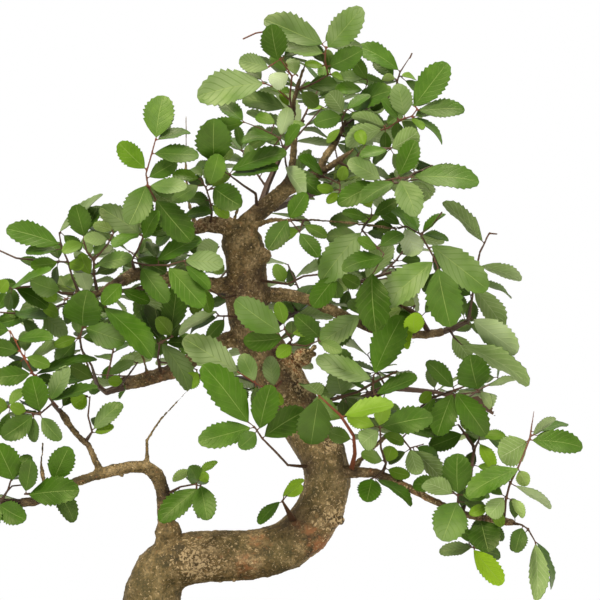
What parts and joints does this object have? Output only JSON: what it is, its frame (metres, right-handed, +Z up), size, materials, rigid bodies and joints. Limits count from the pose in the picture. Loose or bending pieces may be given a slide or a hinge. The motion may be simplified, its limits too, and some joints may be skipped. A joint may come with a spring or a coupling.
{
  "type": "japanese zelkova bonsai",
  "caption": "Indoor bonsai with a sinuous leaning trunk, crossing limbs and sprays of small toothed leaves, planted off-centre in a plain oval footed pot.",
  "frame": {"origin": "middle of the bounding box on the plane of the pot's feet", "axes": "+Z up the tree; +X to the right of the front view, the way the trunk leans; +Y away from the viewer, through the pot's short side"},
  "size_m": [0.3132, 0.1786, 0.3801],
  "materials": {
    "bark": "rough grey-brown bark with pale flecks",
    "foliage": "half-glossy dark green, paler beneath",
    "potting_mix": "matt dark granular soil with moss",
    "stoneware": "matt unglazed dark brown"
  },
  "bodies": {
    "root": {"trunk": "bark", "pot": "stoneware", "soil": "potting_mix", "shoot_top": "foliage", "shoot_top_left": "foliage", "shoot_leader": "foliage", "shoot_right_high": "foliage", "shoot_right_top": "foliage", "shoot_crown": "foliage", "shoot_stub": "foliage", "shoot_inner_left": "foliage", "shoot_left_high": "foliage", "shoot_left_knob": "foliage", "shoot_bare_wood_left": "foliage", "shoot_fork": "foliage", "shoot_right_inner": "foliage", "shoot_right_upper": "foliage", "shoot_right_hanging": "foliage", "shoot_right_middle": "foliage", "shoot_trunk_upper": "foliage", "shoot_right_dark": "foliage", "shoot_trunk_front": "foliage", "shoot_right_fan": "foliage", "shoot_red_twig": "foliage", "shoot_low_right_inner": "foliage", "shoot_right_low_fan": "foliage", "shoot_right_end": "foliage", "shoot_right_arm": "foliage", "shoot_low_right_middle": "foliage", "shoot_low_right_rosette": "foliage", "shoot_low_right_yellow": "foliage", "shoot_low_right_under": "foliage", "shoot_low_right_side": "foliage", "shoot_low_right_tip": "foliage", "shoot_left_upper": "foliage", "shoot_left_far": "foliage", "shoot_left_tufts": "foliage", "shoot_left_long": "foliage", "shoot_left_middle": "foliage", "shoot_left_red": "foliage", "shoot_left_hidden_fork": "foliage", "shoot_left_low_fork": "foliage", "shoot_left_rosette": "foliage", "shoot_centre_left": "foliage", "shoot_centre_pale": "foliage", "shoot_centre_dark": "foliage", "shoot_centre_red": "foliage", "shoot_lowest_limb": "foliage", "shoot_trunk_low": "foliage", "shoot_left_limb_end": "foliage", "shoot_left_limb_far": "foliage", "bough_rear_top": "foliage", "bough_rear_high": "foliage", "bough_rear_left": "foliage", "bough_rear_middle": "foliage", "bough_rear_right": "foliage", "bough_rear_low": "foliage"}
  },
  "joints": []
}
